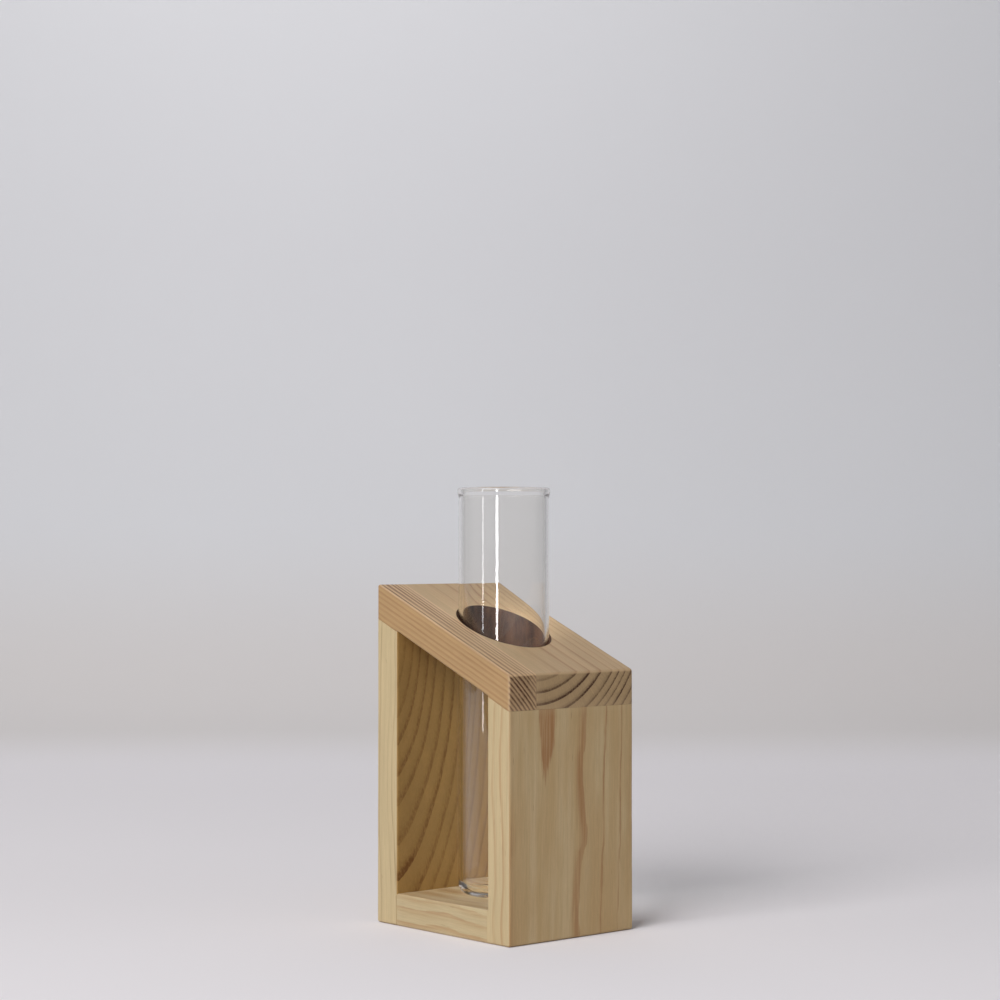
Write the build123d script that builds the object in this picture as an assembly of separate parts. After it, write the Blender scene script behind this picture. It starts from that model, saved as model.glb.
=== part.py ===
# Test tube vase: a pine frame of four boards, with a sloping top that holds a straight glass tube upright.
# The frame is a front upright, a taller back upright, a base board between them and a top that lies on both.
# The top is glued up from a narrow strip and a wide board, and one hole is drilled straight down through it.
# The tube passes through that hole and stands on the base board, in the open window of the frame.
# Blind fluted dowels pin the four joints: two across each end of the base, two up into each end of the top.
# Millimetres. +Z is up, +X is to the right as seen from the front, and the low front face looks along -Y.
# The origin is the middle of the footprint, on the surface that the vase stands on.

from build123d import *
from math import cos, radians, tan
import os

# The stand's outside
stand_width = 72.0
stand_depth = 89.0
back_height = 150.0
top_slope = 22.5

# Its boards
board_thickness = 14.0
strip_width = 15.5
edge_round = 0.9

# The glass tube
tube_diameter = 40.0
tube_length = 178.5
tube_wall = 1.8
tube_floor = 3.0
tube_heel_round = 5.0
tube_inner_heel_round = 3.5
tube_push_up = 0.6
tube_push_up_diameter = 26.0
bead_height = 3.8
bead_bulge = 0.5
lip_drop = 1.6

# The hole that holds the tube
tube_clearance = 1.0
hole_chamfer = 0.4

# The dowels, and how deep each end sits in its board
dowel_diameter = 6.0
dowel_in_upright = 9.0
dowel_in_base = 15.0
dowel_in_upright_end = 16.0
dowel_in_top = 8.0
dowel_chamfer = 0.8
dowel_flutes = 12
dowel_flute_radius = 0.4
dowel_glue_gap = 0.05
dowel_end_gap = 0.5

# Worked out from the sizes above
half_width = stand_width / 2
half_depth = stand_depth / 2
window_half_depth = half_depth - board_thickness
slope_rise = tan(radians(top_slope))
top_upright_thickness = board_thickness / cos(radians(top_slope))
seam_x = strip_width - half_width
tube_radius = tube_diameter / 2
bore_radius = tube_radius - tube_wall
hole_radius = tube_radius + tube_clearance
socket_radius = dowel_diameter / 2 + dowel_glue_gap
dowel_x = half_width - strip_width / 2
upright_middle_y = half_depth - board_thickness / 2

# How far cutting shapes run past what they cut
overrun = 5.0


def top_z(y):
    """Height of the sloping top face at depth y."""
    return back_height + (y - half_depth) * slope_rise


def underside_z(y):
    """Height of the top's sloping underside at depth y."""
    return top_z(y) - top_upright_thickness


def side_prism(corners, x_from, x_to):
    """A solid whose side view is the (y, z) corners, between two places across the width."""
    outline = make_face(Polyline(*corners, close=True))
    return extrude(Plane.YZ.offset(x_from) * outline, x_to - x_from)


def upright_rod(x, y, z_from, z_to, radius):
    """A plain vertical rod."""
    return Pos(x, y, z_from) * extrude(Circle(radius), z_to - z_from)


def level_rod(x, y_from, y_to, z, radius):
    """A plain rod that lies level, front to back."""
    return Pos(x, y_from, z) * Rot(-90, 0, 0) * extrude(Circle(radius), y_to - y_from)


def eased_frame():
    """The whole frame as one piece, with its arrises rounded after the glue-up."""
    outside = side_prism(
        [
            (-half_depth, 0),
            (half_depth, 0),
            (half_depth, top_z(half_depth)),
            (-half_depth, top_z(-half_depth)),
        ],
        -half_width,
        half_width,
    )
    window = side_prism(
        [
            (-window_half_depth, board_thickness),
            (window_half_depth, board_thickness),
            (window_half_depth, underside_z(window_half_depth)),
            (-window_half_depth, underside_z(-window_half_depth)),
        ],
        -half_width - overrun,
        half_width + overrun,
    )
    frame = outside - window
    across = frame.edges().filter_by(Axis.X)
    window_corners = across.filter_by(lambda e: abs(e.center().Y) < window_half_depth + edge_round)
    return fillet(frame.edges() - window_corners, edge_round)


def drilled(board):
    """A piece of the top with its share of the tube hole, chamfered round the upper rim."""
    plain_edges = board.edges()
    board -= upright_rod(0, 0, 2 * board_thickness, back_height + overrun, hole_radius)
    rims = (board.edges() - plain_edges).filter_by(GeomType.ELLIPSE)
    return chamfer(rims.sort_by(Axis.Z)[-1], hole_chamfer)


def upright_space(side):
    """The room of one upright: side is -1 for the front one and 1 for the back one."""
    inner = side * window_half_depth
    outer = side * (half_depth + overrun)
    corners = [(inner, -overrun), (outer, -overrun), (outer, underside_z(outer)), (inner, underside_z(inner))]
    return side_prism(corners, -half_width - overrun, half_width + overrun)


def base_space():
    """The room of the base board, between the uprights."""
    inner = window_half_depth
    corners = [(-inner, -overrun), (inner, -overrun), (inner, board_thickness), (-inner, board_thickness)]
    return side_prism(corners, -half_width - overrun, half_width + overrun)


def top_space(x_from, x_to):
    """The room of one of the two pieces that the top is glued up from."""
    end = half_depth + overrun
    corners = [
        (-end, underside_z(-end)),
        (end, underside_z(end)),
        (end, top_z(end) + overrun),
        (-end, top_z(-end) + overrun),
    ]
    return side_prism(corners, x_from, x_to)


def fluted_dowel(length):
    """A dowel that stands on the origin, chamfered at both ends, with straight glue flutes."""
    radius = dowel_diameter / 2
    dowel = extrude(Circle(radius), length)
    dowel = chamfer(dowel.edges().filter_by(GeomType.CIRCLE), dowel_chamfer)
    flute = Pos(0, 0, -overrun) * extrude(Circle(dowel_flute_radius), length + 2 * overrun)
    for place in PolarLocations(radius, dowel_flutes):
        dowel -= place * flute
    return dowel


def base_dowel(x, side):
    """A dowel that lies through one end of the base board into an upright, and its socket."""
    inner = window_half_depth - dowel_in_base
    outer = window_half_depth + dowel_in_upright
    height = board_thickness / 2
    y_from, y_to = sorted((side * inner, side * outer))
    dowel = Pos(x, y_from, height) * Rot(-90, 0, 0) * fluted_dowel(y_to - y_from)
    socket = level_rod(x, y_from - dowel_end_gap, y_to + dowel_end_gap, height, socket_radius)
    return dowel, socket


def top_dowel(x, side):
    """A dowel that stands in the end of an upright and reaches up into the top, and its socket."""
    y = side * upright_middle_y
    z_from = underside_z(y) - dowel_in_upright_end
    z_to = underside_z(y) + dowel_in_top
    dowel = Pos(x, y, z_from) * fluted_dowel(z_to - z_from)
    socket = upright_rod(x, y, z_from - dowel_end_gap, z_to + dowel_end_gap, socket_radius)
    return dowel, socket


def glass_tube():
    """A straight tube with a beaded mouth and a flat, slightly pushed-up bottom, standing on the base board."""
    foot = board_thickness
    mouth = foot + tube_length
    heel_top = foot + tube_heel_round
    foot_radius = tube_radius - tube_heel_round
    push_up_radius = tube_push_up_diameter / 2
    floor_top = foot + tube_floor
    inner_heel_top = floor_top + tube_inner_heel_round
    floor_radius = bore_radius - tube_inner_heel_round
    bead_radius = tube_radius + bead_bulge
    bead_widest = mouth - lip_drop
    bead_foot = mouth - bead_height
    lip_middle = (bore_radius + bead_radius) / 2
    outline = [
        Line((0, foot + tube_push_up), (0, floor_top)),
        Line((0, floor_top), (floor_radius, floor_top)),
        CenterArc((floor_radius, inner_heel_top), tube_inner_heel_round, -90, 90),
        Line((bore_radius, inner_heel_top), (bore_radius, bead_widest)),
        EllipticalCenterArc((lip_middle, bead_widest), bead_radius - lip_middle, lip_drop, arc_size=180),
        Spline((bead_radius, bead_widest), (tube_radius, bead_foot), tangents=[(0, -1), (0, -1)]),
        Line((tube_radius, bead_foot), (tube_radius, heel_top)),
        CenterArc((foot_radius, heel_top), tube_heel_round, -90, 90),
        Line((foot_radius, foot), (push_up_radius, foot)),
        TangentArc((0, foot + tube_push_up), (push_up_radius, foot), tangent=(1, 0)),
    ]
    section = Plane.XZ * make_face(outline)
    return revolve(section, Axis.Z)


def whole_vase():
    """Every piece by name."""
    frame = eased_frame()
    boards = {
        "front_upright": frame & upright_space(-1),
        "back_upright": frame & upright_space(1),
        "base_board": frame & base_space(),
        "top_strip": drilled(frame & top_space(-half_width - overrun, seam_x)),
        "top_board": drilled(frame & top_space(seam_x, half_width + overrun)),
    }
    dowels = {}
    for end, side in (("front", -1), ("back", 1)):
        for hand, x in (("left", -dowel_x), ("right", dowel_x)):
            crown = "top_strip" if x < seam_x else "top_board"
            joints = {
                "base": (base_dowel(x, side), "base_board"),
                "top": (top_dowel(x, side), crown),
            }
            for level, ((dowel, socket), board) in joints.items():
                dowels[f"{level}_dowel_{end}_{hand}"] = dowel
                boards[board] -= socket
                boards[f"{end}_upright"] -= socket
    return {**boards, **dowels, "glass_tube": glass_tube()}


os.makedirs("parts", exist_ok=True)
for name, piece in whole_vase().items():
    export_step(piece, f"parts/{name}.step")
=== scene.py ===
import random
from dataclasses import dataclass
from math import cos, hypot, pi, radians, sin, tan

import bmesh
import bpy
from bpy.props import FloatProperty, FloatVectorProperty, IntProperty, PointerProperty
from mathutils import Matrix, Vector, noise


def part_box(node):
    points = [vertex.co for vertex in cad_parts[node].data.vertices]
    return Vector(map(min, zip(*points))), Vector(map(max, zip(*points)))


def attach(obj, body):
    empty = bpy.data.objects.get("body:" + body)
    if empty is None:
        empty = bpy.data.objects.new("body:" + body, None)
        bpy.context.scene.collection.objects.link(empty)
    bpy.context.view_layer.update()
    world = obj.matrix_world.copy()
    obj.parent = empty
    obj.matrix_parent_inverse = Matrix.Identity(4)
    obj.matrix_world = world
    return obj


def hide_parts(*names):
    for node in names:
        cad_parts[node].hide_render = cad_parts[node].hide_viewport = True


bl_info = {
    "name": "Test tube vase",
    "version": (1, 0, 0),
    "blender": (4, 5, 0),
    "location": "View3D > Sidebar > Vase",
    "description": "Builds a pine stand that holds a glass tube, and the studio around it",
    "category": "Add Mesh",
}

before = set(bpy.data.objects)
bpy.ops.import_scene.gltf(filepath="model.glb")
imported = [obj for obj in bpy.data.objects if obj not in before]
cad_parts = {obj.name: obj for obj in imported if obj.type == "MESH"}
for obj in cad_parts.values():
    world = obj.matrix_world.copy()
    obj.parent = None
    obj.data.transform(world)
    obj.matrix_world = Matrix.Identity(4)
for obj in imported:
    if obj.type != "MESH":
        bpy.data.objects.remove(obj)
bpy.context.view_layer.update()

MM = 0.001
BASE_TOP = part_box("base_board")[1].z
WINDOW_HALF_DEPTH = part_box("base_board")[1].y
HALF_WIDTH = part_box("top_board")[1].x
HALF_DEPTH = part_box("back_upright")[1].y
SEAM_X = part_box("top_board")[0].x
TUBE_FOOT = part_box("glass_tube")[0].z
TUBE_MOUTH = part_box("glass_tube")[1].z
BEAD_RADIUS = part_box("glass_tube")[1].x
BACK_LINES = 0.7
# Radii where the hole wall's colour begins: the cutter's scorch with painted shade of the deep hole.
SCORCH_AND_SHADE_FULL = 21.2 * MM
SCORCH_AND_SHADE_END = 21.6 * MM
DRILL_LENGTH = 0.12
DRILL_MIDDLE = 0.14
SHARP_ANGLE = radians(38)
ROUNDED_TURN = 0.07
SLOW_WEAR = 60.0
QUICK_WEAR = 240.0

CAMERA_PLACE = (-0.67836, -0.77920, 0.16866)
CAMERA_TILT = radians(91.0235)
CAMERA_TURN = radians(-40.949)
CAMERA_LENS = 84.325
GLASS_BOUNCES = 64
STRIP_DISTANCE = 1.04

PAPER_HALF_WIDTH = 1.6
PAPER_FRONT = -0.8
PAPER_BACK = 1.62
PAPER_RISE = 3.0
PAPER_BEND = 0.5


def display_colour(red, green, blue):
    """The linear colour of an 8-bit display colour."""
    shares = [value / 255 for value in (red, green, blue)]
    return tuple(c / 12.92 if c <= 0.04045 else ((c + 0.055) / 1.055) ** 2.4 for c in shares)


def opaque(colour, shade=1.0):
    """A colour for a shader: red, green and blue, made darker if shade is below 1, with full alpha."""
    return tuple(part * shade for part in colour[:3]) + (1.0,)


def length_setting(name, description, default):
    """A size that the sidebar shows in the scene's own length unit."""
    return FloatProperty(
        name=name, description=description, default=default, min=0.0, precision=5, unit="LENGTH"
    )


def power_setting(name, description, default):
    """The power of a lamp."""
    return FloatProperty(name=name, description=description, default=default, min=0.0, unit="POWER")


def colour_setting(name, description, default):
    """A colour that the sidebar shows as a swatch."""
    linear = display_colour(*default)
    return FloatVectorProperty(
        name=name, description=description, default=linear, subtype="COLOR", min=0.0, max=1.0
    )


class VaseStandSizes(bpy.types.PropertyGroup):
    """Sizes of the pine stand. The outside sizes come from the CAD model."""

    back_height: length_setting("Back height", "Height of the sloping top at its back edge", 0.150)
    top_slope: FloatProperty(
        name="Top slope", description="Lean of the top to the front", default=radians(22.5), subtype="ANGLE"
    )
    hole_radius: length_setting("Hole radius", "Radius of the upright hole in the top", 0.021)
    rim_chamfer: length_setting("Rim chamfer", "Chamfer round the upper rim of the hole", 0.0004)
    arris_radius: length_setting("Arris radius", "Rounding of the stand's edges", 0.00115)
    arris_wear: length_setting("Arris wear", "How far hand sanding has eaten into the rounded edges", 0.00016)
    face_wear: length_setting("Face wear", "How far the sanded faces dip", 0.00003)
    glue_line: length_setting("Glue line", "Width of the fine groove where two boards meet", 0.00009)
    wear_spacing: length_setting("Wear spacing", "Distance between the points that wear moves", 0.0045)


class VaseTubeSizes(bpy.types.PropertyGroup):
    """Sizes of the glass tube. Its height and its widest place come from the CAD model."""

    outside_radius: length_setting("Outside radius", "Radius of the tube's straight part", 0.020)
    wall: length_setting("Wall", "Thickness of the glass wall", 0.0018)
    floor: length_setting("Floor", "Thickness of the glass floor", 0.003)
    heel_round: length_setting("Heel rounding", "Rounding where the wall turns into the foot", 0.005)
    inner_heel_round: length_setting("Inner heel rounding", "Rounding inside, round the floor", 0.0035)
    push_up: length_setting("Push-up", "How far the middle of the foot stands off the board", 0.0006)
    push_up_radius: length_setting("Push-up radius", "Radius of the raised middle of the foot", 0.013)
    bead_height: length_setting("Bead height", "Height of the thickened mouth", 0.0038)
    lip_round: length_setting("Lip rounding", "Rounding of the fire-polished lip", 0.00112)
    sides: IntProperty(name="Sides", description="Faces round the tube", default=144, min=24, max=360)


class VaseColours(bpy.types.PropertyGroup):
    """Colours of the wood and the glass, as they are in plain white light, except the hole's wall and the
    back upright's inner face, which carry painted shade as well.
    """

    pale_pine: colour_setting("Pale pine", "Early wood of the uprights", (211, 187, 143))
    golden_pine: colour_setting("Golden pine", "Deeper patches of the same boards", (199, 168, 120))
    edge_pine: colour_setting("Edge pine", "Early wood on the narrow sides of the uprights", (204, 183, 142))
    base_pine: colour_setting("Base pine", "Early wood of the base board", (222, 204, 169))
    base_side: colour_setting("Base side", "The same on the base board's narrow sides", (199, 180, 141))
    pine_line: colour_setting("Pine ring line", "Late wood of the uprights and the base", (159, 96, 42))
    # The back upright's inner face looks into the window: its darker, more orange colours are heartwood tone
    # with painted shade of the window on top.
    shaded_heart_pine: colour_setting("Heart pine", "Early wood of the back upright's inner face", (175, 138, 79))
    shaded_heart_line: colour_setting("Heart ring line", "Late wood of the back upright's inner face", (120, 79, 36))
    crown_pine: colour_setting("Crown pine", "Early wood of the wide top board", (210, 179, 139))
    crown_line: colour_setting("Crown ring line", "Late wood of the wide top board", (152, 92, 58))
    crown_end_line: colour_setting("Crown end line", "The same where its end grain shows", (80, 47, 24))
    strip_pine: colour_setting("Strip pine", "Early wood of the narrow top strip", (230, 196, 153))
    strip_side: colour_setting("Strip side", "Early wood of the strip's outer side", (185, 151, 107))
    strip_line: colour_setting("Strip ring line", "Late wood of the narrow top strip", (130, 74, 45))
    strip_end_line: colour_setting("Strip end line", "The same where its end grain shows", (90, 53, 31))
    # The hole wall's colour: the cutter's scorch, darkened further as painted shade of the deep narrow hole.
    scorch_and_shade: colour_setting("Scorch", "Wall of the hole, browned by the cutter", (45, 21, 9))
    beech: colour_setting("Beech", "Dowels", (205, 166, 126))
    beech_fleck: colour_setting("Beech fleck", "Fine rays in the dowels", (150, 104, 70))
    glass_tint: colour_setting("Glass tint", "Colour of the clear glass", (255, 254, 252))


class VaseStage(bpy.types.PropertyGroup):
    """The studio round the vase."""

    floor_colour: colour_setting("Floor colour", "Pale sheet that the vase stands on", (240, 236, 239))
    wall_colour: colour_setting("Wall colour", "The same sheet where it rises behind", (238, 238, 241))
    key_power: power_setting("Key power", "Power of the big soft lamp on the left", 41.0)
    strip_power: power_setting("Strip power", "Power of the brighter narrow lamp", 2.2)
    wall_power: power_setting("Wall power", "Power of the lamp that lights the wall", 3.35)
    room_light: FloatProperty(
        name="Room light", description="Strength of the light from all round", default=0.2, min=0.0
    )


class NodeSheet:
    """One node tree, with short ways to add nodes to it and to join them up."""

    def __init__(self, tree):
        self.tree = tree
        tree.nodes.clear()

    def add(self, kind, inputs=None, **settings):
        """Adds a node. An input is a number, a colour, another node's output, or a node for its first one."""
        node = self.tree.nodes.new("ShaderNode" + kind)
        for name, value in settings.items():
            setattr(node, name, value)
        for socket, value in (inputs or {}).items():
            if isinstance(value, bpy.types.Node):
                value = value.outputs[0]
            if isinstance(value, bpy.types.NodeSocket):
                self.tree.links.new(value, node.inputs[socket])
            else:
                node.inputs[socket].default_value = value
        return node

    def math(self, operation, first, second=0.0, clamp=False):
        """One sum on one or two numbers."""
        return self.add("Math", {0: first, 1: second}, operation=operation, use_clamp=clamp).outputs[0]

    def times(self, first, second, clamp=False):
        """One number times another."""
        return self.math("MULTIPLY", first, second, clamp)

    def plus(self, first, second):
        """One number and another added up."""
        return self.math("ADD", first, second)

    def vector(self, operation, first, second=(0.0, 0.0, 0.0)):
        """One sum on one or two vectors, as a vector."""
        return self.add("VectorMath", {0: first, 1: second}, operation=operation).outputs[0]

    def measure(self, operation, first, second=(0.0, 0.0, 0.0)):
        """One sum on one or two vectors, as a number."""
        return self.add("VectorMath", {0: first, 1: second}, operation=operation).outputs["Value"]

    def scaled(self, value, factor):
        """A colour or a vector times a number."""
        return self.add("VectorMath", {0: value, "Scale": factor}, operation="SCALE").outputs[0]

    def spread(self, place, scale):
        """A place with each axis stretched by its own scale."""
        return self.add("Mapping", {"Vector": place, "Scale": scale}, vector_type="POINT").outputs[0]

    def blend(self, factor, first, second, how="MIX"):
        """One colour laid over another."""
        mixed = self.add("Mix", {0: factor, 6: first, 7: second}, data_type="RGBA", blend_type=how)
        return mixed.outputs[2]

    def ease(self, value, low, high, to_low=0.0, to_high=1.0):
        """A smooth step from one level to another, as value goes from low to high."""
        limits = {"Value": value, "From Min": low, "From Max": high, "To Min": to_low, "To Max": to_high}
        return self.add("MapRange", limits, interpolation_type="SMOOTHSTEP").outputs[0]

    def noise(self, place, scale, detail=2.0, roughness=0.5, output="Fac"):
        """Soft noise, with its own scale along each axis."""
        inputs = {"Vector": self.spread(place, scale), "Scale": 1.0, "Detail": detail, "Roughness": roughness}
        return self.add("TexNoise", inputs).outputs[output]

    def cells(self, place, scale):
        """The distance to the nearest of many scattered points."""
        inputs = {"Vector": self.spread(place, scale), "Scale": 1.0}
        return self.add("TexVoronoi", inputs, feature="F1").outputs["Distance"]

    def principled(self, colour, rough, bump, ior, more):
        """The main shader, with a bump of a height, a strength and a distance, and more inputs by name."""
        inputs = {"Base Color": colour, "Roughness": rough, "IOR": ior}
        inputs["Normal"] = self.add("Bump", dict(zip(("Height", "Strength", "Distance"), bump)))
        return self.add("BsdfPrincipled", inputs | more)

    def curve(self, value, points):
        """A level from 0 to 1 for each value, on a smooth curve through the points."""
        low, high = points[0][0], points[-1][0]
        along = self.add("MapRange", {"Value": value, "From Min": low, "From Max": high}).outputs[0]
        node = self.add("FloatCurve", {"Value": along})
        ends = node.mapping.curves[0].points
        ends[0].location = (0.0, points[0][1])
        ends[1].location = (1.0, points[-1][1])
        for position, level in points[1:-1]:
            ends.new((position - low) / (high - low), level)
        for point in node.mapping.curves[0].points:
            point.handle_type = "AUTO_CLAMPED"
        node.mapping.update()
        return node.outputs[0]

    def ramp(self, value, stops, how="LINEAR"):
        """A grey level for each place from 0 to 1."""
        node = self.add("ValToRGB", {0: value})
        node.color_ramp.interpolation = how
        points = node.color_ramp.elements
        while len(points) < len(stops):
            points.new(0.5)
        for point, (position, level) in zip(points, stops):
            point.position = position
            point.color = (level, level, level, 1.0)
        return node.outputs[0]


def new_material(name):
    """An empty material and its node sheet."""
    material = bpy.data.materials.new(name)
    material.use_nodes = True
    return material, NodeSheet(material.node_tree)


@dataclass
class Board:
    """How one board was cut from its tree. Lengths here are in millimetres.

    pith is a point on the tree's middle line and grain the direction of that line. rings lists the radius
    of each growth ring with the strength of its dark line. sway is how far the rings wander across the board,
    and sway_length how slowly they do it along the grain. side_contrast and end_contrast are how strong the
    lines are along the grain and on end grain. early, dark and band are where in a ring the late wood starts
    to show, where it is darkest and how dark it is on the way there. ragged is how torn its edges are. A
    lopsided tree has narrower rings on its right. bends lists places along the grain with how far the rings
    step aside there, most of all at the distance bend_at to the right of the pith.
    """

    pith: Vector
    grain: Vector
    rings: list
    sway: tuple
    sway_length: float
    side_contrast: float
    end_contrast: float
    early: float = 0.6
    band: float = 0.3
    dark: float = 0.9
    ragged: float = 0.5
    lopsided: float = 0.0
    bends: list = None
    bend_at: float = 0.0

    def __post_init__(self):
        self.pith = Vector(self.pith)
        self.grain = Vector(self.grain).normalized()


def even_rings(first, last, gap, seed, faint=0.45):
    """Growth rings from one radius to another, each a little wider or narrower and stronger or fainter."""
    chance = random.Random(seed)
    radius = first
    rings = []
    while radius < last and len(rings) < 30:
        rings.append((radius, chance.uniform(faint, 1.0)))
        radius += gap * chance.uniform(0.8, 1.2)
    return rings


def ring_pattern(sheet, board, place):
    """How dark the late wood is at each place, from 0 to 1, with the board's own millimetre frame."""
    upright = Vector((0, 0, 1)) if abs(board.grain.z) < 0.8 else Vector((0, 1, 0))
    across = upright.cross(board.grain).normalized()
    turn = Matrix((across, board.grain.cross(across), board.grain))
    frame_of_board = {"Vector": place, "Location": -(turn @ board.pith), "Rotation": turn.to_euler()}
    frame_of_board["Scale"] = (1 / MM, 1 / MM, 1 / MM)
    own = sheet.add("Mapping", frame_of_board, vector_type="POINT").outputs[0]
    wander = sheet.noise(own, (0.02, 0.02, 1 / board.sway_length), detail=1.5, output="Color")
    jagged = sheet.noise(own, (0.9, 0.9, 0.09), detail=3.0, output="Color")
    wander = sheet.vector("SUBTRACT", wander, (0.5, 0.5, 0.5))
    jagged = sheet.vector("SUBTRACT", jagged, (0.5, 0.5, 0.5))
    wander = sheet.vector("MULTIPLY", wander, (*board.sway, 0.0))
    jagged = sheet.vector("MULTIPLY", jagged, (1.4 * board.ragged, 0.3 * board.ragged, 0.0))
    swayed = sheet.vector("ADD", sheet.vector("ADD", own, wander), jagged)
    if board.bends:
        reach = max(abs(shift) for _, shift in board.bends)
        axes = sheet.add("SeparateXYZ", {0: own})
        points = [(length, 0.5 - 0.5 * shift / reach) for length, shift in board.bends]
        bend = sheet.curve(axes.outputs["Z"], points)
        bend = sheet.times(sheet.math("SUBTRACT", bend, 0.5), 2 * reach)
        apart = sheet.math("ABSOLUTE", sheet.math("SUBTRACT", axes.outputs["X"], board.bend_at))
        bend = sheet.times(bend, sheet.ease(apart, 4.0, 14.0, 1.0, 0.25))
        swayed = sheet.vector("ADD", swayed, sheet.add("CombineXYZ", {0: bend}))
    flat = sheet.vector("MULTIPLY", swayed, (1.0, 1.0, 0.0))
    radius = sheet.measure("LENGTH", flat)
    if board.lopsided:
        aside = sheet.measure("DOT_PRODUCT", flat, (board.lopsided, 0.0, 0.0))
        radius = sheet.plus(radius, aside)

    count = len(board.rings)
    first_gap = board.rings[1][0] - board.rings[0][0]
    last_gap = board.rings[-1][0] - board.rings[-2][0]
    low = board.rings[0][0] - first_gap
    high = board.rings[-1][0] + last_gap
    steps = [(ring_radius, i / (count + 1)) for i, (ring_radius, _) in enumerate(board.rings, 1)]
    number = sheet.times(sheet.curve(radius, [(low, 0.0)] + steps + [(high, 1.0)]), count + 1.0)
    part = sheet.math("FRACT", number)
    whole = sheet.math("DIVIDE", sheet.plus(sheet.math("FLOOR", number), 0.5), count + 1.0)
    strengths = [((i + 0.02) / (count + 1), strength) for i, (_, strength) in enumerate(board.rings)]
    strength = sheet.ramp(whole, strengths, "CONSTANT")
    rise = (board.early + (board.dark - board.early) * 0.7, board.band)
    stops = [(0.0, 0.0), (board.early, 0.02), rise, (board.dark, 1.0), (0.982, 0.92), (1.0, 0.0)]
    return sheet.times(sheet.ramp(part, stops), strength), own


@dataclass
class Finish:
    """The colours of one board.

    pale and deep are its early wood, line its late wood, and end_line the late wood where end grain shows.
    end_tint is what the end grain does to the early wood. side_pale, where it is given, is the early wood of
    the narrow sides, and side_pitch the gap between the upright lines drawn there instead of the rings.
    side_lines is how strong the lines are there. back_pale, where it is given, is the early wood of the face
    that looks backwards. stain is a place, in millimetres, where resin has darkened the rings. The last field
    is the colour of the hole's wall: the cutter's browning, with painted shade of the deep narrow hole laid
    over it.
    """

    pale: tuple
    deep: tuple
    line: tuple
    end_line: tuple = None
    end_tint: tuple = (0.78, 0.76, 0.72)
    side_pale: tuple = None
    side_pitch: float = None
    side_lines: float = 1.0
    back_pale: tuple = None
    stain: tuple = None
    scorched_and_shaded: tuple = None

    def __post_init__(self):
        self.end_line = self.end_line or self.line
        for name in ("pale", "deep", "line", "end_line", "end_tint", "side_pale", "back_pale", "scorched_and_shaded"):
            if getattr(self, name) is not None:
                setattr(self, name, opaque(getattr(self, name)))


def edge_lines(sheet, place, own, pitch):
    """Upright lines of late wood on a board's narrow sides, a few to each side, with a gentle wave."""
    depth = sheet.add("SeparateXYZ", {0: place}).outputs["Y"]
    wave = sheet.noise(own, (0.02, 0.02, 0.016), detail=1.5)
    number = sheet.plus(sheet.times(depth, 1 / (pitch * MM)), sheet.times(wave, 3.0))
    stops = [(0.0, 0.05), (0.6, 0.1), (0.88, 0.8), (0.94, 0.7), (1.0, 0.05)]
    profile = sheet.ramp(sheet.math("FRACT", number), stops)
    line = sheet.math("FLOOR", number)
    each = sheet.add("TexWhiteNoise", {"W": line}, noise_dimensions="1D").outputs["Value"]
    return sheet.times(profile, sheet.ease(each, 0.1, 1.0, 0.15, 0.85))


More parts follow.
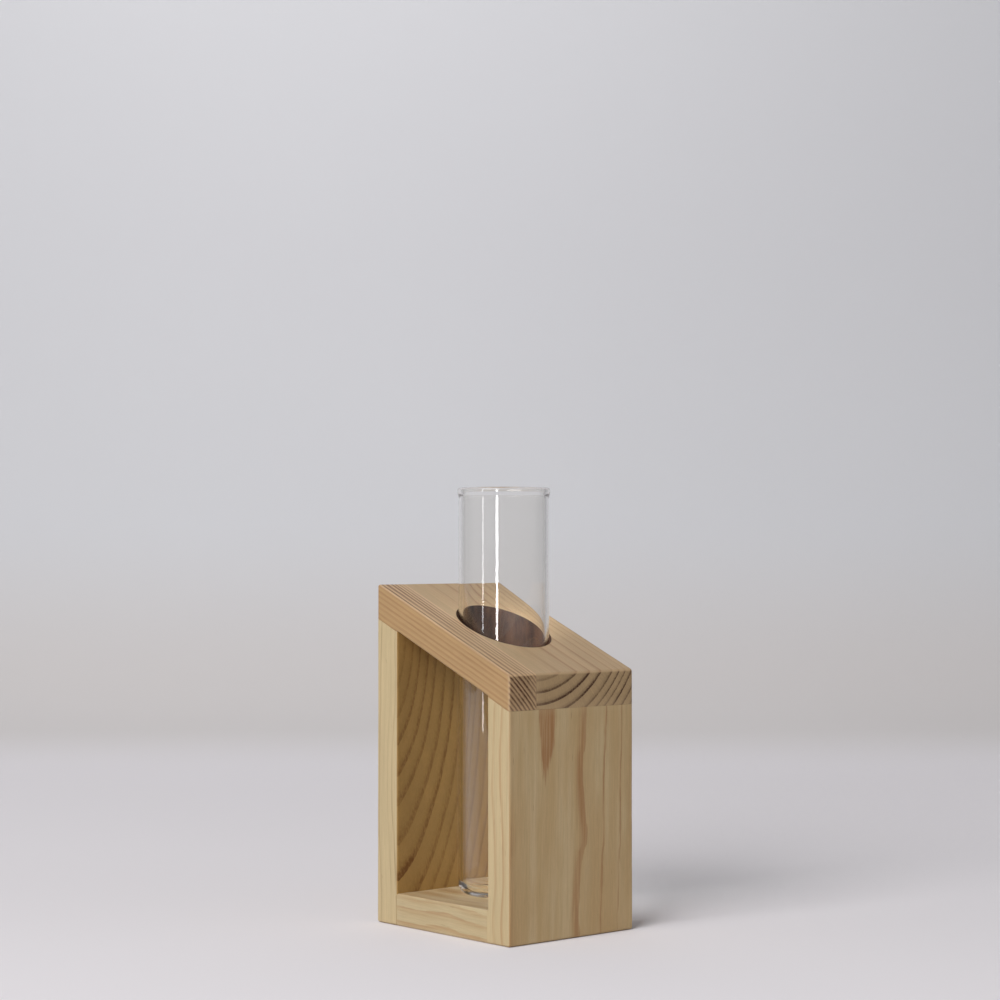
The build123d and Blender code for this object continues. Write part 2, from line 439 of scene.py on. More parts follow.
def wood_material(name, board, finish):
    """Sanded, waxed pine with real growth rings, fibres, rays, resin ducts and handled edges, which are drawn
    paler, partly as a painted highlight.
    """
    material, sheet = new_material(name)
    where = sheet.add("TexCoord")
    place = where.outputs["Object"]
    facing = where.outputs["Normal"]
    late, own = ring_pattern(sheet, board, place)
    pale, deep = finish.pale, finish.deep
    fibre_place = own

    along_grain = sheet.measure("DOT_PRODUCT", facing, tuple(board.grain))
    end = sheet.ease(sheet.math("ABSOLUTE", along_grain), 0.55, 0.85)
    contrast = sheet.ease(end, 0.0, 1.0, board.side_contrast, board.end_contrast)
    other_faces = []
    if finish.side_pale:
        sideways = sheet.measure("DOT_PRODUCT", facing, (1.0, 0.0, 0.0))
        edge = sheet.ease(sheet.math("ABSOLUTE", sideways), 0.6, 0.8)
        other_faces.append((edge, finish.side_pale, finish.side_lines))
        if finish.side_pitch:
            upright = sheet.scaled(place, 1 / MM)
            fibre_place = sheet.blend(edge, own, upright)
            late = sheet.blend(edge, late, edge_lines(sheet, place, upright, finish.side_pitch))
    if finish.back_pale:
        backwards = sheet.measure("DOT_PRODUCT", facing, (0.0, 1.0, 0.0))
        other_faces.append((sheet.ease(backwards, 0.6, 0.8), finish.back_pale, BACK_LINES))
    for face, early_wood, lines in other_faces:
        contrast = sheet.times(contrast, sheet.ease(face, 0.0, 1.0, 1.0, lines))
        pale = sheet.blend(face, pale, early_wood)
        deep = sheet.blend(face, deep, opaque(early_wood, 0.92))
    uneven = sheet.noise(fibre_place, (0.12, 0.12, 0.02))
    contrast = sheet.times(contrast, sheet.ease(uneven, 0.3, 0.65, 0.75, 1.0))
    if finish.stain:
        centre = tuple(c * MM for c in finish.stain)
        away = sheet.measure("DISTANCE", place, centre)
        contrast = sheet.times(contrast, sheet.ease(away, 3 * MM, 15 * MM, 1.9, 1.0))

    patches = sheet.noise(fibre_place, (0.07, 0.07, 0.016))
    bands = sheet.noise(fibre_place, (0.25, 0.25, 0.008))
    streaks = sheet.noise(fibre_place, (1.3, 1.3, 0.02), detail=3.0, roughness=0.6)
    fibres = sheet.noise(fibre_place, (5.0, 5.0, 0.12), detail=4.0, roughness=0.65)
    pores = sheet.noise(fibre_place, (7.0, 7.0, 3.0))
    grainy = sheet.plus(sheet.times(fibres, 0.75), sheet.times(pores, 0.25))

    torn = sheet.plus(sheet.ease(end, 0.0, 1.0, 0.0, 0.3), sheet.ease(streaks, 0.34, 0.6, 0.5, 1.0))
    dark = sheet.times(sheet.times(late, contrast), torn, clamp=True)
    colour = sheet.blend(sheet.ease(patches, 0.35, 0.65, 0.0, 0.85), pale, deep)
    colour = sheet.blend(sheet.ease(bands, 0.42, 0.66, 0.0, 0.6), colour, deep)
    colour = sheet.blend(sheet.ease(streaks, 0.5, 0.7, 0.0, 0.3), colour, deep)
    colour = sheet.blend(end, colour, finish.end_tint, "MULTIPLY")
    colour = sheet.blend(dark, colour, sheet.blend(end, finish.line, finish.end_line))

    duct = sheet.ease(sheet.cells(own, (0.5, 0.5, 0.035)), 0.035, 0.075, 0.5, 0.0)
    duct = sheet.times(duct, sheet.ease(streaks, 0.45, 0.6))
    colour = sheet.blend(duct, colour, finish.line, "MULTIPLY")

    across = sheet.add("SeparateXYZ", {0: own})
    turned = sheet.math("ARCTAN2", across.outputs["Y"], across.outputs["X"])
    radius = sheet.measure("LENGTH", sheet.vector("MULTIPLY", own, (1.0, 1.0, 0.0)))
    fan = sheet.add("CombineXYZ", {0: sheet.times(turned, 110.0), 1: sheet.times(radius, 0.12)})
    rays = sheet.noise(fan, (1.0, 1.0, 1.0), detail=3.0, roughness=0.6)
    shade = sheet.ease(grainy, 0.25, 0.75, 0.88, 1.08)
    shade = sheet.times(shade, sheet.ease(streaks, 0.3, 0.7, 1.03, 0.97))
    shade = sheet.plus(shade, sheet.times(end, sheet.ease(rays, 0.3, 0.7, -0.07, 0.06)))
    colour = sheet.scaled(colour, shade)

    # Rounded edges are blended part way to the pale early wood: handling wear, and a painted highlight along
    # the arrises as well.
    arris = sheet.add("Attribute", attribute_name="arris", attribute_type="GEOMETRY").outputs["Fac"]
    worn = sheet.times(arris, sheet.ease(streaks, 0.35, 0.6, 0.1, 0.35))
    colour = sheet.blend(worn, colour, pale)

    rough = sheet.math("SUBTRACT", 0.56, sheet.times(dark, 0.12))
    rough = sheet.plus(rough, sheet.times(end, 0.14))
    rough = sheet.plus(rough, sheet.ease(grainy, 0.3, 0.7, 0.05, -0.05))
    rough = sheet.math("SUBTRACT", rough, sheet.times(arris, 0.08))

    # The hole's wall: the cutter's brown scorch, made darker as painted shade of the deep narrow hole round
    # the tube.
    if finish.scorched_and_shaded:
        reach = sheet.measure("LENGTH", sheet.vector("MULTIPLY", place, (1.0, 1.0, 0.0)))
        near = sheet.ease(reach, SCORCH_AND_SHADE_FULL, SCORCH_AND_SHADE_END, 1.0, 0.0)
        upwards = sheet.measure("DOT_PRODUCT", facing, (0.0, 0.0, 1.0))
        wall = sheet.times(near, sheet.ease(sheet.math("ABSOLUTE", upwards), 0.5, 0.95, 1.0, 0.0))
        wall_mottle = sheet.noise(place, (260.0, 260.0, 70.0), detail=3.0, roughness=0.6)
        burnt_and_shaded = sheet.blend(sheet.ease(wall_mottle, 0.3, 0.7, 0.0, 0.15), finish.scorched_and_shaded, finish.line)
        cover = sheet.times(wall, sheet.ease(wall_mottle, 0.3, 0.75, 1.0, 0.95))
        colour = sheet.blend(cover, colour, burnt_and_shaded)

    height = sheet.plus(sheet.times(grainy, 0.9), sheet.times(dark, 0.5))
    height = sheet.math("SUBTRACT", height, duct)
    shine = {"Specular IOR Level": 0.45}
    shader = sheet.principled(colour, rough, (height, 0.6, 0.00006), 1.45, shine)
    sheet.add("OutputMaterial", {"Surface": shader})
    return material


def beech_material(name, grain, colours):
    """Raw beech: even and pinkish, with fine short rays and the dull sheen of planed dowel rod."""
    material, sheet = new_material(name)
    place = sheet.add("TexCoord").outputs["Object"]
    stretch = [2200.0 if part < 0.5 else 130.0 for part in grain]
    fibres = sheet.noise(place, stretch, detail=4.0, roughness=0.65)
    cells = [1500.0 if part < 0.5 else 420.0 for part in grain]
    fleck = sheet.ease(sheet.cells(place, cells), 0.10, 0.22, 0.7, 0.0)
    patches = sheet.noise(place, (150.0, 150.0, 90.0))
    colour = sheet.blend(sheet.ease(patches, 0.3, 0.7), opaque(colours.beech), opaque(colours.beech, 0.84))
    colour = sheet.blend(fleck, colour, opaque(colours.beech_fleck))
    shade = sheet.ease(fibres, 0.25, 0.75, 0.9, 1.06)
    colour = sheet.scaled(colour, shade)
    rough = sheet.ease(fibres, 0.3, 0.7, 0.66, 0.54)
    shader = sheet.principled(colour, rough, (fibres, 0.5, 0.00005), 1.45, {})
    sheet.add("OutputMaterial", {"Surface": shader})
    return material


def glass_material(name, tint):
    """Clear drawn glass tube, faintly wavy along its length, with a few dry water marks."""
    material, sheet = new_material(name)
    place = sheet.add("TexCoord").outputs["Object"]
    waves = sheet.noise(place, (70.0, 70.0, 9.0), detail=1.0)
    marks = sheet.noise(place, (160.0, 160.0, 120.0), detail=3.0, roughness=0.55)
    rough = sheet.ease(marks, 0.62, 0.8, 0.0, 0.01)
    see_through = {"Transmission Weight": 1.0}
    shader = sheet.principled(opaque(tint), rough, (waves, 0.01, 0.0003), 1.47, see_through)
    clear = sheet.add("BsdfTransparent", {"Color": (0.93, 0.94, 0.94, 1.0)})
    light = sheet.add("LightPath")
    surface = sheet.add("MixShader", {0: light.outputs["Is Shadow Ray"], 1: shader, 2: clear})
    sheet.add("OutputMaterial", {"Surface": surface})
    return material


def paper_material(floor_colour, wall_colour, away):
    """The stage's paper: matte and faintly mottled, and cooler where it rises, in the direction away. Its
    floor is painted lighter behind the vase as painted light, and a band of painted shade darkens it where it
    bends up.
    """
    material, sheet = new_material("stage_paper")
    place = sheet.add("TexCoord").outputs["Object"]
    height = sheet.add("SeparateXYZ", {0: place}).outputs["Z"]
    behind = sheet.measure("DOT_PRODUCT", place, away)
    # Painted light: the floor is drawn lighter from just behind the vase towards the bend.
    lit_far_floor = opaque([min(1.0, part * 1.07) for part in floor_colour])
    # Painted shade: a darker, warmer band where the paper bends up into the wall.
    shaded_bend = opaque([part * share for part, share in zip(floor_colour, (0.96, 0.955, 0.92))])
    shade = sheet.blend(sheet.ease(behind, 0.0, 0.4), opaque(floor_colour), lit_far_floor)
    shade = sheet.blend(sheet.ease(behind, 0.7, 1.1), shade, shaded_bend)
    shade = sheet.blend(sheet.ease(height, 0.02, 0.2), shade, opaque(wall_colour))
    cloud = sheet.noise(place, (1.3, 1.3, 1.3))
    shade = sheet.scaled(shade, sheet.ease(cloud, 0.3, 0.7, 0.99, 1.01))
    shader = sheet.add("BsdfDiffuse", {"Color": shade, "Roughness": 0.4})
    sheet.add("OutputMaterial", {"Surface": shader})
    return material


def top_height(y, sizes):
    """Height of the sloping top face at depth y."""
    return sizes.back_height + (y - HALF_DEPTH) * tan(sizes.top_slope)


def underside_height(y, sizes):
    """Height of the top's underside at depth y. The top is as thick as the base."""
    return top_height(y, sizes) - BASE_TOP / cos(sizes.top_slope)


def outline(bm, corners):
    """A closed outline of (y, z) corners on the stand's left side."""
    points = [bm.verts.new((-HALF_WIDTH, y, z)) for y, z in corners]
    return [bm.edges.new(pair) for pair in zip(points, points[1:] + points[:1])]


def rounded(bm, geom, offset, segments, affect="EDGES"):
    """Bevels edges or corners of a mesh."""
    bmesh.ops.bevel(
        bm,
        geom=geom,
        offset=offset,
        offset_type="OFFSET",
        segments=segments,
        profile=0.5,
        affect=affect,
        clamp_overlap=True,
        material=-1,
    )


def bisected(bm, point, outwards, clear_outer=False):
    """Cuts a whole mesh along a plane, and drops what lies beyond it if clear_outer."""
    bmesh.ops.bisect_plane(
        bm,
        geom=bm.verts[:] + bm.edges[:] + bm.faces[:],
        dist=0.001 * MM,
        plane_co=point,
        plane_no=outwards,
        clear_outer=clear_outer,
    )


def added(name, data):
    """A new object in the scene."""
    item = bpy.data.objects.new(name, data)
    bpy.context.scene.collection.objects.link(item)
    return item


def mesh_from(name, bm):
    """A mesh that holds what the bmesh held."""
    mesh = bpy.data.meshes.new(name)
    bm.to_mesh(mesh)
    bm.free()
    return mesh


def eased_frame(sizes):
    """The whole stand as one closed mesh, with its arrises rounded, before it is sawn into its boards."""
    bm = bmesh.new()
    far, near = HALF_DEPTH, WINDOW_HALF_DEPTH
    front, back = top_height(-far, sizes), top_height(far, sizes)
    outside = outline(bm, [(-far, 0), (far, 0), (far, back), (-far, front)])
    front, back = underside_height(-near, sizes), underside_height(near, sizes)
    window = outline(bm, [(-near, BASE_TOP), (near, BASE_TOP), (near, back), (-near, front)])
    bmesh.ops.bridge_loops(bm, edges=outside + window)
    grown = bmesh.ops.extrude_face_region(bm, geom=bm.faces[:])["geom"]
    moved = [item for item in grown if isinstance(item, bmesh.types.BMVert)]
    bmesh.ops.translate(bm, verts=moved, vec=(2 * HALF_WIDTH, 0, 0))
    bmesh.ops.recalc_face_normals(bm, faces=bm.faces[:])

    arrises = []
    for edge in bm.edges:
        one, two = edge.verts
        middle = (one.co + two.co) / 2
        window_corner = abs(middle.x) < MM and abs(middle.y) < near + MM
        if edge.calc_face_angle(0.0) > 0.1 and not window_corner:
            arrises.append(edge)
    rounded(bm, arrises, sizes.arris_radius, 5)
    return bm


def drilled(bm, sizes):
    """The same mesh with the tube's hole cut straight down through its top."""
    cutter = bmesh.new()
    radii = {"radius1": sizes.hole_radius, "radius2": sizes.hole_radius}
    bmesh.ops.create_cone(cutter, cap_ends=True, segments=160, depth=DRILL_LENGTH, **radii)
    bmesh.ops.translate(cutter, verts=cutter.verts[:], vec=(0, 0, DRILL_MIDDLE))
    stand = added("stand", mesh_from("stand", bm))
    drill = added("drill", mesh_from("drill", cutter))
    cut = stand.modifiers.new("hole", "BOOLEAN")
    cut.operation = "DIFFERENCE"
    cut.solver = "EXACT"
    cut.object = drill
    bpy.context.view_layer.update()
    finished = stand.evaluated_get(bpy.context.evaluated_depsgraph_get())
    whole = bmesh.new()
    whole.from_mesh(finished.to_mesh())
    finished.to_mesh_clear()
    for piece in (stand, drill):
        bpy.data.meshes.remove(piece.data)
    return whole


def lies_on(face, point, outwards):
    """True where the whole face lies in a plane."""
    return all(abs((vert.co - point).dot(outwards)) < 0.01 * MM for vert in face.verts)


def sawn(whole, cuts, groove):
    """A board of the whole mesh: what lies inside the cuts, closed again, with a groove along each joint."""
    board = whole.copy()
    for point, outwards in cuts:
        bisected(board, point, outwards, clear_outer=True)
        stray = [f for f in board.faces if lies_on(f, point, outwards) and f.normal.dot(outwards) < 0]
        bmesh.ops.delete(board, geom=stray, context="FACES")
        bmesh.ops.holes_fill(board, edges=[e for e in board.edges if e.is_boundary], sides=0)
        bmesh.ops.recalc_face_normals(board, faces=board.faces[:])
    bmesh.ops.dissolve_limit(board, angle_limit=radians(1), verts=board.verts[:], edges=board.edges[:])
    joints = []
    for edge in board.edges:
        glued = any(lies_on(face, *cut) for face in edge.link_faces for cut in cuts)
        if glued and edge.calc_face_angle(0.0) > radians(30):
            joints.append(edge)
    rounded(board, joints, groove, 1)
    return board


def worn(board, sizes, directions):
    """Wear on a sawn board: points are added over it, and each one moves in a little by soft noise.

    The arris attribute says how rounded each place is, from 0 on a flat face to 1 on the middle of an edge.
    """
    low, high = (Vector([end(v.co[axis] for v in board.verts) for axis in range(3)]) for end in (min, max))
    for axis in range(3):
        outwards = Vector([1.0 if other == axis else 0.0 for other in range(3)])
        steps = int((high[axis] - low[axis]) / sizes.wear_spacing)
        for step in range(1, steps):
            bisected(board, low + outwards * (high[axis] - low[axis]) * step / steps, outwards)
    board.normal_update()
    layer = board.verts.layers.float.new("arris")
    moves = []
    for vert in board.verts:
        flatness = max(abs(vert.normal.dot(direction)) for direction in directions)
        arris = min(1.0, (1.0 - flatness) / ROUNDED_TURN)
        hole = abs(hypot(vert.co.x, vert.co.y) - sizes.hole_radius) < MM and vert.co.z > 2 * BASE_TOP
        if hole:
            arris = 0.0
        vert[layer] = arris
        slow = 0.5 + 0.5 * noise.noise(vert.co * SLOW_WEAR)
        quick = 0.5 + 0.5 * noise.noise(vert.co * QUICK_WEAR)
        depth = 0.0 if hole else sizes.face_wear * slow + arris * sizes.arris_wear * slow * quick
        moves.append((vert, vert.normal * depth))
    for vert, move in moves:
        vert.co -= move


def finished_piece(bm, name, body, material, nodes):
    """Turns a bmesh into a shaded object that rides on a body and stands for its CAD nodes."""
    mesh = mesh_from(name, bm)
    mesh.shade_smooth()
    mesh.set_sharp_from_angle(angle=SHARP_ANGLE)
    mesh.materials.append(material)
    piece = added(name, mesh)
    even = piece.modifiers.new("even shading", "WEIGHTED_NORMAL")
    even.keep_sharp = True
    even.weight = 100
    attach(piece, body)
    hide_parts(*nodes)
    return piece


def slope_direction(sizes):
    """The direction up along the top, from front to back."""
    return Vector((0.0, cos(sizes.top_slope), sin(sizes.top_slope)))


def slope_normal(sizes):
    """The direction straight out of the sloping top face."""
    return Vector((0.0, -sin(sizes.top_slope), cos(sizes.top_slope)))


def upper_rim(board, sizes):
    """The edges where the hole's wall meets the sloping top face."""
    rim = []
    for edge in board.edges:
        if len(edge.link_faces) != 2:
            continue
        normals = [face.normal for face in edge.link_faces]
        wall = any(abs(normal.z) < 0.01 and abs(normal.x) < 0.9999 for normal in normals)
        top = any(normal.dot(slope_normal(sizes)) > 0.999 for normal in normals)
        middle = (edge.verts[0].co + edge.verts[1].co) / 2
        if wall and top and hypot(middle.x, middle.y) < sizes.hole_radius + MM:
            rim.append(edge)
    return rim


def board_piece(name, cuts, material, sizes, has_hole=False):
    """Saws one board out of the eased stand, wears it and adds it to the scene."""
    whole = eased_frame(sizes)
    if has_hole:
        whole = drilled(whole, sizes)
    board = sawn(whole, cuts, sizes.glue_line)
    whole.free()
    if has_hole:
        rounded(board, upper_rim(board, sizes), sizes.rim_chamfer, 3)
    directions = [Vector((1, 0, 0)), Vector((0, 1, 0)), Vector((0, 0, 1)), slope_normal(sizes)]
    worn(board, sizes, directions)
    return finished_piece(board, name, "frame", material, [name])


def underside_cut(sizes, upwards):
    """The sloping joint plane under the top, facing away from the board kept: upwards if that is below."""
    point = Vector((0.0, HALF_DEPTH, underside_height(HALF_DEPTH, sizes)))
    return point, slope_normal(sizes) * (1.0 if upwards else -1.0)


class VASE_OT_uprights(bpy.types.Operator):
    """Add the short front upright and the tall back upright"""

    bl_idname = "vase.uprights"
    bl_label = "Uprights"

    def execute(self, context):
        sizes = context.scene.vase_stand
        colours = context.scene.vase_colours
        flame_rings = [(21.0, 0.6), (25.3, 0.7), (30.14, 1.0), (37.8, 0.8), (44.2, 0.08), (46.8, 0.85)]
        outer_rings = [(53.0, 0.05), (55.0, 0.85), (60.5, 0.12), (64.0, 0.5), (69.0, 0.6)]
        low_bends = [(-103.0, 0.5), (-88.0, -0.7), (-76.0, -0.3), (-66.0, 0.8), (-60.0, 2.8)]
        high_bends = [(-52.0, 1.9), (-39.0, 0.0), (-28.0, -0.8), (-18.0, 0.4), (-5.0, 0.3)]
        front_tree = Board(
            pith=(-11.5, -74.2, 103.0), grain=(0.017, 0.0165, 1.0),
            rings=flame_rings + outer_rings, lopsided=0.1, bends=low_bends + high_bends,
            bend_at=17.0, sway=(2.0, 0.25), sway_length=42.0, side_contrast=0.76,
            end_contrast=0.9, early=0.56, band=0.5, dark=0.78, ragged=1.3,
        )
        front_finish = Finish(
            colours.pale_pine, colours.golden_pine, colours.pine_line,
            side_pale=colours.edge_pine, side_pitch=4.6,
        )
        front = wood_material("front_upright_pine", front_tree, front_finish)
        near = WINDOW_HALF_DEPTH
        cuts = [(Vector((0, -near, 0)), Vector((0, 1, 0))), underside_cut(sizes, True)]
        board_piece("front_upright", cuts, front, sizes)

        inner_rings = [(11.0, 0.4), (14.9, 0.5), (18.9, 0.7), (23.0, 0.9), (27.7, 0.95), (32.3, 0.85)]
        heart_rings = [(38.1, 0.8), (43.6, 1.0), (49.7, 0.8), (54.0, 0.7), (59.0, 0.8), (64.5, 0.6)]
        outer_rings = [(69.0, 0.9), (74.0, 0.8), (79.5, 0.9), (85.0, 0.8)]
        back_tree = Board(
            pith=(-45.0, 17.6, 102.5), grain=(0.0, 0.4, 1.0),
            rings=inner_rings + heart_rings + outer_rings, sway=(4.0, 2.5), sway_length=60.0,
            side_contrast=0.78, end_contrast=0.95, early=0.42, band=0.42, dark=0.82, ragged=0.4,
        )
        # The inner face takes the darker colours, heartwood tone with painted shade of the window; its sides
        # and back stay pale.
        back_finish = Finish(
            colours.shaded_heart_pine, opaque(colours.shaded_heart_pine, 0.9), colours.shaded_heart_line,
            side_pale=colours.edge_pine, side_pitch=3.4, side_lines=0.85,
            back_pale=colours.edge_pine, stain=(-32.0, 30.5, 22.0),
        )
        back = wood_material("back_upright_pine", back_tree, back_finish)
        cuts = [(Vector((0, near, 0)), Vector((0, -1, 0))), underside_cut(sizes, True)]
        board_piece("back_upright", cuts, back, sizes)
        return {"FINISHED"}


class VASE_OT_base_board(bpy.types.Operator):
    """Add the base board that the tube stands on"""

    bl_idname = "vase.base_board"
    bl_label = "Base board"

    def execute(self, context):
        sizes = context.scene.vase_stand
        colours = context.scene.vase_colours
        tree = Board(
            pith=(20.0, 0.0, -70.0), grain=(0.01, 1.0, 0.015),
            rings=even_rings(66.0, 130.0, 4.2, seed=8, faint=0.3), sway=(10.0, 7.0),
            sway_length=48.0, side_contrast=0.9, end_contrast=0.9, early=0.25, band=0.5,
            dark=0.8, ragged=1.6,
        )
        finish = Finish(
            colours.base_pine, colours.golden_pine, colours.pine_line,
            side_pale=colours.base_side, side_lines=1.15,
        )
        material = wood_material("base_board_pine", tree, finish)
        near = WINDOW_HALF_DEPTH
        cuts = [
            (Vector((0, near, 0)), Vector((0, 1, 0))),
            (Vector((0, -near, 0)), Vector((0, -1, 0))),
            (Vector((0, 0, 2 * BASE_TOP)), Vector((0, 0, 1))),
        ]
        board_piece("base_board", cuts, material, sizes)
        return {"FINISHED"}


class VASE_OT_top(bpy.types.Operator):
    """Add the two pieces of the glued-up top, with the hole through both"""

    bl_idname = "vase.top"
    bl_label = "Top"

    def execute(self, context):
        sizes = context.scene.vase_stand
        colours = context.scene.vase_colours
        normal = slope_normal(sizes)
        along = slope_direction(sizes)
        on_top = Vector((0.0, 0.0, top_height(0.0, sizes) / MM))
        wide_rings = [(37.2, 0.4), (41.9, 0.8), (46.7, 1.0), (51.3, 1.0), (56.3, 0.66), (59.6, 0.75)]
        wide_rings += [(62.6, 0.6), (65.8, 1.0), (69.6, 0.75), (73.1, 0.7), (76.5, 0.7)]
        wide_tree = Board(
            pith=on_top + normal * 34.15 + Vector((-20.5, 0.0, 0.0)), grain=along,
            rings=wide_rings, sway=(0.9, 0.7), sway_length=90.0, side_contrast=0.68,
            end_contrast=1.0, early=0.5, band=0.36, dark=0.85,
        )
        wide_finish = Finish(
            colours.crown_pine, opaque(colours.crown_pine, 0.92), colours.crown_line,
            end_line=colours.crown_end_line, end_tint=(0.8, 0.78, 0.7), scorched_and_shaded=colours.scorch_and_shade,
        )
        wide = wood_material("top_board_pine", wide_tree, wide_finish)
        lean = radians(42)
        strip_tree = Board(
            pith=on_top - Vector((28.0 + 120 * sin(lean), 0.0, 7.0 + 120 * cos(lean))),
            grain=along, rings=even_rings(103.0, 140.0, 1.65, seed=11, faint=0.82),
            sway=(1.2, 0.8), sway_length=80.0, side_contrast=0.95, end_contrast=1.0, early=0.35,
            band=0.3, dark=0.6,
        )
        strip_finish = Finish(
            colours.strip_pine, opaque(colours.strip_pine, 0.93), colours.strip_line,
            end_line=colours.strip_end_line, end_tint=(0.65, 0.61, 0.55),
            side_pale=colours.strip_side, side_lines=0.45, scorched_and_shaded=colours.scorch_and_shade,
        )
        strip = wood_material("top_strip_pine", strip_tree, strip_finish)
        seam = Vector((SEAM_X, 0, 0))
        cuts = [underside_cut(sizes, False), (seam, Vector((-1, 0, 0)))]
        board_piece("top_board", cuts, wide, sizes, has_hole=True)
        cuts = [underside_cut(sizes, False), (seam, Vector((1, 0, 0)))]
        board_piece("top_strip", cuts, strip, sizes, has_hole=True)
        return {"FINISHED"}


class VASE_OT_dowels(bpy.types.Operator):
    """Finish the blind beech dowels, whose shape is the CAD model's own"""

    bl_idname = "vase.dowels"
    bl_label = "Dowels"

    def execute(self, context):
        colours = context.scene.vase_colours
        level = beech_material("level_dowel_beech", (0, 1, 0), colours)
        upright = beech_material("upright_dowel_beech", (0, 0, 1), colours)
        for name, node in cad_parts.items():
            if "_dowel_" in name:
                for slot in node.material_slots:
                    slot.material = level if name.startswith("base") else upright
        return {"FINISHED"}


class VASE_OT_tube(bpy.types.Operator):
    """Add the glass tube with its beaded mouth and pushed-up foot"""

    bl_idname = "vase.tube"
    bl_label = "Glass tube"

    def execute(self, context):
        sizes = context.scene.vase_tube
        bore = sizes.outside_radius - sizes.wall
        inner_floor = TUBE_FOOT + sizes.floor
        lip = sizes.lip_round
        heel, inner_heel = sizes.heel_round, sizes.inner_heel_round
        corners = [
            (0.0, inner_floor, 0.0, 0),
            (bore, inner_floor, inner_heel, 8),
            (bore, TUBE_MOUTH, lip, 6),
            (BEAD_RADIUS, TUBE_MOUTH, lip, 6),
            (BEAD_RADIUS, TUBE_MOUTH - 0.62 * sizes.bead_height, 0.5 * MM, 4),
            (sizes.outside_radius, TUBE_MOUTH - 0.95 * sizes.bead_height, 0.8 * MM, 4),
            (sizes.outside_radius, TUBE_FOOT, heel, 10),
            (sizes.push_up_radius, TUBE_FOOT, 1.5 * MM, 4),
            (0.35 * sizes.push_up_radius, TUBE_FOOT + 0.9 * sizes.push_up, 2 * MM, 4),
            (0.0, TUBE_FOOT + sizes.push_up, 0.0, 0),
        ]
        bm = bmesh.new()
        points = [bm.verts.new((radius, 0.0, height)) for radius, height, _, _ in corners]
        for pair in zip(points, points[1:]):
            bm.edges.new(pair)
        for point, (_, _, rounding, steps) in zip(points, corners):
            if steps:
                rounded(bm, [point], rounding, steps, "VERTICES")
        turn = {"axis": (0, 0, 1), "angle": 2 * pi, "steps": sizes.sides, "use_merge": True}
        bmesh.ops.spin(bm, geom=bm.verts[:] + bm.edges[:], **turn)
        bmesh.ops.remove_doubles(bm, verts=bm.verts[:], dist=0.002 * MM)
        bmesh.ops.recalc_face_normals(bm, faces=bm.faces[:])
        glass = glass_material("tube_glass", context.scene.vase_colours.glass_tint)
        finished_piece(bm, "glass_tube", "tube", glass, ["glass_tube"])
        return {"FINISHED"}


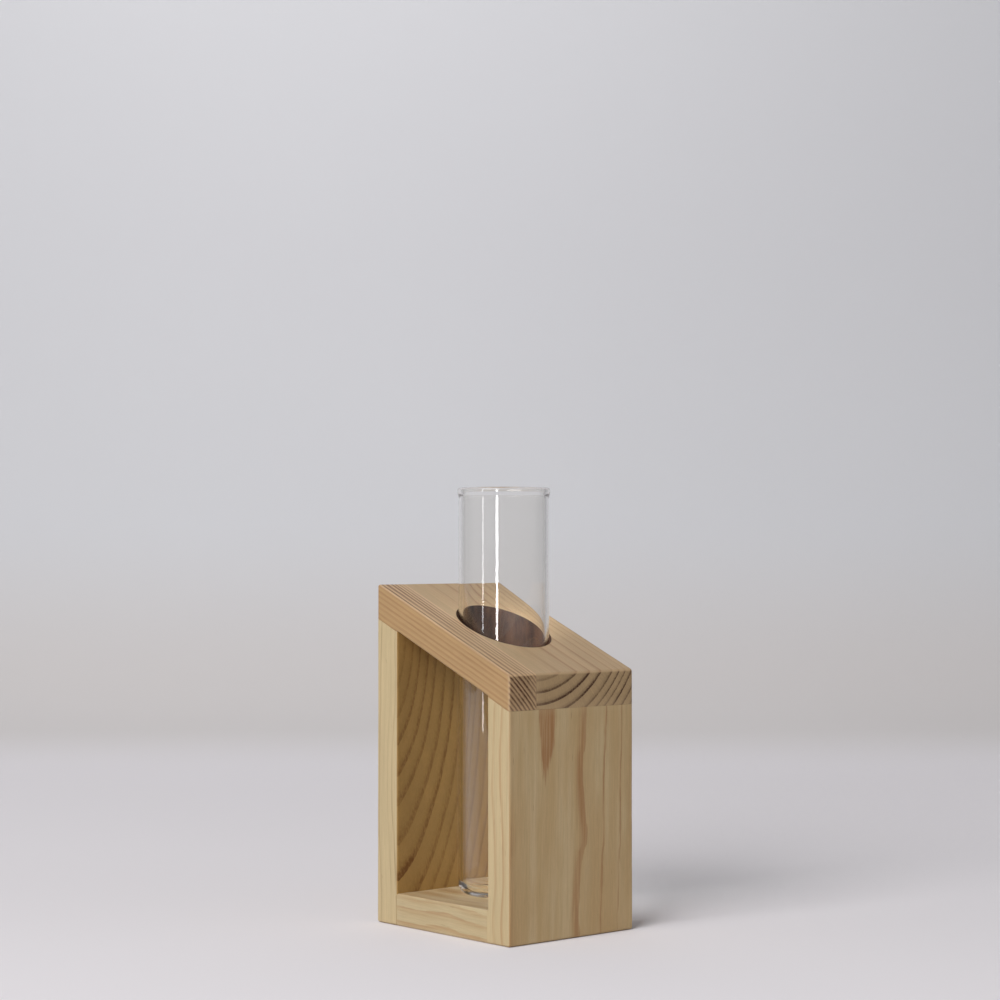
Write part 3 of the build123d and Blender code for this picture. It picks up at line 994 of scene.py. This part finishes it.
class VASE_OT_stage(bpy.types.Operator):
    """Add the paper floor and wall, the lamps and the camera"""

    bl_idname = "vase.stage"
    bl_label = "Stage"

    def execute(self, context):
        stage = context.scene.vase_stage
        away = Matrix.Rotation(CAMERA_TURN, 3, "Z")

        camera = bpy.data.cameras.new("camera")
        camera.lens = CAMERA_LENS
        camera.sensor_width = 36.0
        viewer = added("camera", camera)
        viewer.location = CAMERA_PLACE
        viewer.rotation_euler = (CAMERA_TILT, 0.0, CAMERA_TURN)
        context.scene.camera = viewer

        paper_look = paper_material(stage.floor_colour, stage.wall_colour, away @ Vector((0, 1, 0)))
        self.paper(away, paper_look)

        key = self.lamp("key", stage.key_power, (1.5, 1.3), bearing=15.0, elevation=28.0, distance=2.2)
        key.visible_transmission = False
        self.standing_strip("bright_strip", stage.strip_power, (0.105, 0.25), bearing=32.0)
        self.standing_strip("dim_strip", 0.25 * stage.strip_power, (0.06, 0.25), bearing=-5.0)
        wall_light = self.lamp("wall_light", stage.wall_power, (0.8, 0.8))
        wall_light.location = away @ Vector((-0.22, 0.8, 1.3))
        aim = Vector((0.1, cos(radians(18)), -sin(radians(18))))
        wall_light.rotation_euler = (away @ aim).to_track_quat("-Z", "Z").to_euler()
        wall_light.visible_glossy = False

        world = bpy.data.worlds.new("room")
        context.scene.world = world
        world.use_nodes = True
        sheet = NodeSheet(world.node_tree)
        lit = sheet.add("Background", {"Color": (0.97, 0.98, 1.0, 1.0), "Strength": stage.room_light})
        seen = sheet.add("Background", {"Color": opaque(display_colour(205, 204, 207)), "Strength": 1.0})
        light = sheet.add("LightPath")
        bounces, passes = light.outputs["Ray Depth"], light.outputs["Transmission Depth"]
        straight = sheet.math("SUBTRACT", 2.0, sheet.math("SUBTRACT", bounces, passes), clamp=True)
        through = sheet.times(light.outputs["Is Transmission Ray"], straight)
        direct = sheet.math("MAXIMUM", light.outputs["Is Camera Ray"], through)
        both = sheet.add("MixShader", {0: direct, 1: lit, 2: seen})
        sheet.add("OutputWorld", {"Surface": both})
        context.scene.view_settings.view_transform = "Standard"
        # Light runs a long way inside the tube's wall. With fewer bounces the rim turns black from above.
        cycles = context.scene.cycles
        cycles.max_bounces = cycles.glossy_bounces = cycles.transmission_bounces = GLASS_BOUNCES
        return {"FINISHED"}

    def paper(self, away, look):
        """A wide sheet that lies under the vase and bends up into a wall behind it."""
        bm = bmesh.new()
        bmesh.ops.create_grid(bm, x_segments=1, y_segments=1, size=PAPER_HALF_WIDTH)
        for vert in bm.verts:
            vert.co.y = PAPER_BACK if vert.co.y > 0 else PAPER_FRONT
        far_edge = [edge for edge in bm.edges if all(vert.co.y > 0 for vert in edge.verts)]
        risen = bmesh.ops.extrude_edge_only(bm, edges=far_edge)["geom"]
        top = [item for item in risen if isinstance(item, bmesh.types.BMVert)]
        bmesh.ops.translate(bm, verts=top, vec=(0, 0, PAPER_RISE))
        rounded(bm, far_edge, PAPER_BEND, 24)
        bmesh.ops.rotate(bm, verts=bm.verts[:], cent=(0, 0, 0), matrix=away)
        bmesh.ops.translate(bm, verts=bm.verts[:], vec=(0, 0, -0.1 * MM))
        bmesh.ops.recalc_face_normals(bm, faces=bm.faces[:])
        mesh = mesh_from("paper", bm)
        mesh.shade_smooth()
        mesh.materials.append(look)
        return added("paper", mesh)

    def lamp(self, name, power, size, bearing=0.0, elevation=0.0, distance=STRIP_DISTANCE):
        """A soft oblong lamp that points at the middle of the vase. Bearing 0 is the left, 90 the front."""
        light = bpy.data.lights.new(name, "AREA")
        light.shape = "RECTANGLE"
        light.size, light.size_y = size
        light.energy = power
        lamp = added(name, light)
        side, up = radians(bearing), radians(elevation)
        towards = Vector((-cos(side) * cos(up), -sin(side) * cos(up), sin(up)))
        lamp.location = towards * distance + Vector((0, 0, 0.09))
        lamp.rotation_euler = towards.to_track_quat("Z", "Y").to_euler()
        lamp.visible_camera = False
        return lamp

    def standing_strip(self, name, power, size, bearing):
        """A tall narrow lamp that stands a metre away and draws a line of light on the glass."""
        lamp = self.lamp(name, power, size, bearing)
        lamp.location.z = size[1] / 2 + 3 * MM
        lamp.visible_diffuse = False
        lamp.visible_transmission = False
        return lamp


class VASE_PT_panel(bpy.types.Panel):
    """Lists the pieces of the vase and the sizes and colours that they are built with"""

    bl_idname = "VASE_PT_panel"
    bl_label = "Test tube vase"
    bl_space_type = "VIEW_3D"
    bl_region_type = "UI"
    bl_category = "Vase"

    def draw(self, context):
        for group in (context.scene.vase_stand, context.scene.vase_tube, context.scene.vase_colours):
            self.settings(group)
        for operator in OPERATORS:
            self.layout.operator(operator.bl_idname)
        self.settings(context.scene.vase_stage)

    def settings(self, group):
        """One column with every setting of a group."""
        column = self.layout.column(align=True)
        for name in group.__annotations__:
            column.prop(group, name)


GROUPS = {
    "vase_stand": VaseStandSizes,
    "vase_tube": VaseTubeSizes,
    "vase_colours": VaseColours,
    "vase_stage": VaseStage,
}
OPERATORS = (VASE_OT_stage, VASE_OT_uprights, VASE_OT_base_board, VASE_OT_top, VASE_OT_dowels, VASE_OT_tube)


def register():
    for name, group in GROUPS.items():
        bpy.utils.register_class(group)
        setattr(bpy.types.Scene, name, PointerProperty(type=group))
    for operator in OPERATORS:
        bpy.utils.register_class(operator)
    bpy.utils.register_class(VASE_PT_panel)


def unregister():
    bpy.utils.unregister_class(VASE_PT_panel)
    for operator in reversed(OPERATORS):
        bpy.utils.unregister_class(operator)
    for name, group in reversed(GROUPS.items()):
        delattr(bpy.types.Scene, name)
        bpy.utils.unregister_class(group)


def main():
    """Builds the vase and its stage."""
    register()
    for operator in OPERATORS:
        group, name = operator.bl_idname.split(".")
        getattr(getattr(bpy.ops, group), name)()


if __name__ == "__main__":
    main()
